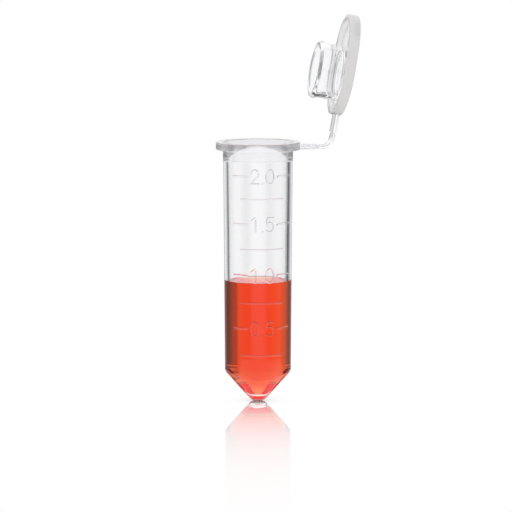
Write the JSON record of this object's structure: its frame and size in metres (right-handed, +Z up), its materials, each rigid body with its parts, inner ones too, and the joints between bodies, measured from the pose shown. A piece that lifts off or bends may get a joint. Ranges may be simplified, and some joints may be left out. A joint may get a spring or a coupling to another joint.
{
  "type": "microcentrifuge tube",
  "caption": "Clear conical-bottom sample tube with a collar, a raised volume scale and an attached hinged plug lid standing open, part filled with liquid.",
  "frame": {"origin": "centre of the collar's flat underside on the tube's axis, the plane in which the tube hangs in a rack hole", "axes": "+Z up the tube's axis to its mouth, +X from the axis to the hinge strap and the open lid, scale on the -Y side"},
  "size_m": [0.0223, 0.0132, 0.0604],
  "materials": {
    "tube_plastic": "clear glossy polypropylene",
    "strap_plastic": "clear glossy polypropylene, thin web",
    "lid_plastic": "clear to slightly frosted polypropylene",
    "sample_liquid": "clear red-orange liquid"
  },
  "bodies": {
    "tube": {"tube_barrel": "tube_plastic", "collar": "tube_plastic", "strap_root_tab": "tube_plastic", "sample_liquid": "sample_liquid"},
    "web_lower": {"hinge_web_lower": "strap_plastic"},
    "web_upper": {"hinge_web_upper": "strap_plastic"},
    "lid": {"lid_strap_tab": "lid_plastic", "lid_plate": "lid_plastic", "lid_rim": "lid_plastic", "sealing_plug": "lid_plastic"}
  },
  "joints": [
    {"name": "strap_root_bend", "type": "hinge", "parent": "tube", "child": "web_lower", "pos_m": [0.0093, 0, 0.00035], "axis": [0, -1, 0], "range_deg": [-14.74, 18.64], "stiffness_Nm_per_rad": 0.0012, "springref_deg": 0.5},
    {"name": "strap_middle_bend", "type": "hinge", "parent": "web_lower", "child": "web_upper", "pos_m": [0.01104, 0, 0.00081], "axis": [0, -1, 0], "range_deg": [-50.02, 63.24], "stiffness_Nm_per_rad": 0.0011, "springref_deg": 0.28},
    {"name": "lid_bend", "type": "hinge", "parent": "web_upper", "child": "lid", "pos_m": [0.01181, 0, 0.00244], "axis": [0, -1, 0], "range_deg": [-14.74, 18.64], "stiffness_Nm_per_rad": 0.00092, "springref_deg": 0.2}
  ],
  "couplings": [
    {"joint": "strap_root_bend", "follows": "strap_middle_bend", "ratio": 0.29459},
    {"joint": "lid_bend", "follows": "strap_middle_bend", "ratio": 0.29459}
  ]
}
